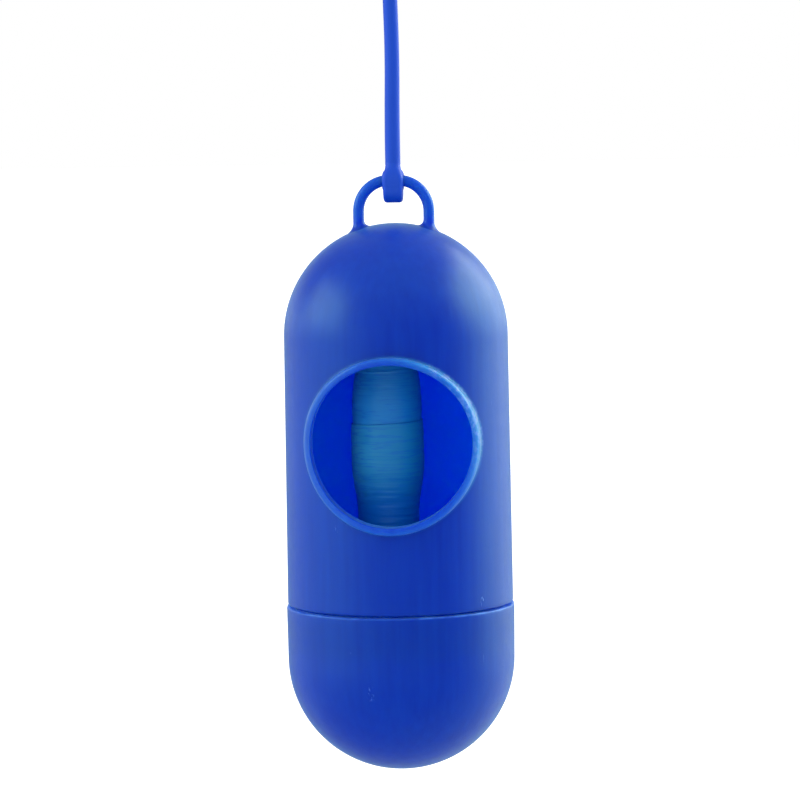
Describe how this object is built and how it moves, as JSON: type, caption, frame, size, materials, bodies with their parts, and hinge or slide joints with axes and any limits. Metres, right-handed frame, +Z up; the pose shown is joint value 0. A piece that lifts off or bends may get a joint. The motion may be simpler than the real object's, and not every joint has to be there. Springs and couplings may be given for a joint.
{
  "type": "dog poop bag dispenser",
  "caption": "Pill-shaped dispenser for a roll of dog waste bags, with a round window, a pull-off cap and a bail that hangs on a soft strap.",
  "frame": {"origin": "centre of the strap's upper loop, where the dispenser hangs", "axes": "+Z up along the case's axis, +Y along the loop's bore and from the window towards the back, +X to the right as one looks at the window"},
  "size_m": [0.039, 0.0402, 0.1617],
  "materials": {
    "case_blue": "smooth satin moulded polypropylene",
    "strap_blue": "soft satin moulding",
    "bag_film": "thin wrinkled film with a soft sheen",
    "core_paper": "plain wound paper"
  },
  "bodies": {
    "strap": {"strap_loop": "strap_blue", "strap_cord": "strap_blue", "strap_eye": "strap_blue"},
    "case": {"case_shell": "case_blue"},
    "cap": {"bottom_cap": "case_blue"},
    "roll": {"roll_core": "core_paper", "bag_roll": "bag_film", "first_bag": "bag_film"}
  },
  "joints": [
    {"name": "case_swing", "type": "hinge", "parent": "strap", "child": "case", "pos_m": [0, 0, -0.0482], "axis": [1, 0, 0], "range_deg": [-90, 90]},
    {"name": "cap_pull", "type": "slide", "parent": "case", "child": "cap", "axis": [0, 0, -1], "range_m": [0, 0.075]},
    {"name": "roll_spin", "type": "hinge", "parent": "cap", "child": "roll", "pos_m": [-0.0016, -0.0022, -0.1105], "axis": [0, 0, 1], "continuous": true}
  ]
}
